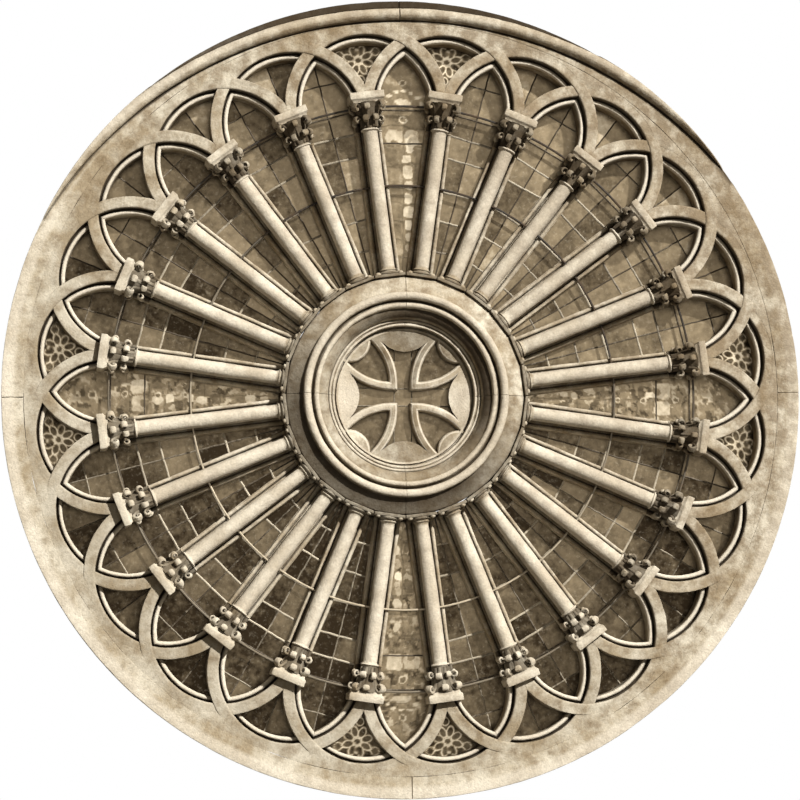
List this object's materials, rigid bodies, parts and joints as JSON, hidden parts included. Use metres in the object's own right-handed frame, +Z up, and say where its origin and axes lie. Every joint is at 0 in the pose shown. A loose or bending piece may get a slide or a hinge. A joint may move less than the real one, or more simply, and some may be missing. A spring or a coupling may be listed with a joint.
{
  "type": "rose window",
  "caption": "Round wheel window of carved stone: radial colonnettes carry an interlaced arcade inside a moulded rim, round a hub with a pierced cross pattee, glazed with leaded glass.",
  "frame": {"origin": "on the flat bed under the middle of the rim's lowest side, halfway between the crest of the hub's outer roll and the back", "axes": "+Z up the window, -Y out of its front, +X to the right seen from the front"},
  "size_m": [6, 0.35, 6],
  "materials": {
    "carved_stone": "matte",
    "leaded_glass": "satin",
    "wrought_iron": "matte"
  },
  "bodies": {
    "root": {"rim_quadrant_1": "carved_stone", "rim_quadrant_2": "carved_stone", "rim_quadrant_3": "carved_stone", "rim_quadrant_4": "carved_stone", "interlaced_arcade": "carved_stone", "colonnette_01": "carved_stone", "colonnette_02": "carved_stone", "colonnette_03": "carved_stone", "colonnette_04": "carved_stone", "colonnette_05": "carved_stone", "colonnette_06": "carved_stone", "colonnette_07": "carved_stone", "colonnette_08": "carved_stone", "colonnette_09": "carved_stone", "colonnette_10": "carved_stone", "colonnette_11": "carved_stone", "colonnette_12": "carved_stone", "colonnette_13": "carved_stone", "colonnette_14": "carved_stone", "colonnette_15": "carved_stone", "colonnette_16": "carved_stone", "colonnette_17": "carved_stone", "colonnette_18": "carved_stone", "colonnette_19": "carved_stone", "colonnette_20": "carved_stone", "colonnette_21": "carved_stone", "colonnette_22": "carved_stone", "colonnette_23": "carved_stone", "colonnette_24": "carved_stone", "hub_ring": "carved_stone", "cross_tracery": "carved_stone", "hub_glazing": "leaded_glass", "light_glazing_01": "leaded_glass", "light_glazing_02": "leaded_glass", "light_glazing_03": "leaded_glass", "light_glazing_04": "leaded_glass", "light_glazing_05": "leaded_glass", "light_glazing_06": "leaded_glass", "light_glazing_07": "leaded_glass", "light_glazing_08": "leaded_glass", "light_glazing_09": "leaded_glass", "light_glazing_10": "leaded_glass", "light_glazing_11": "leaded_glass", "light_glazing_12": "leaded_glass", "light_glazing_13": "leaded_glass", "light_glazing_14": "leaded_glass", "light_glazing_15": "leaded_glass", "light_glazing_16": "leaded_glass", "light_glazing_17": "leaded_glass", "light_glazing_18": "leaded_glass", "light_glazing_19": "leaded_glass", "light_glazing_20": "leaded_glass", "light_glazing_21": "leaded_glass", "light_glazing_22": "leaded_glass", "light_glazing_23": "leaded_glass", "light_glazing_24": "leaded_glass", "outer_glazing": "leaded_glass", "saddle_iron_inner": "wrought_iron", "saddle_iron_outer": "wrought_iron"}
  },
  "joints": []
}
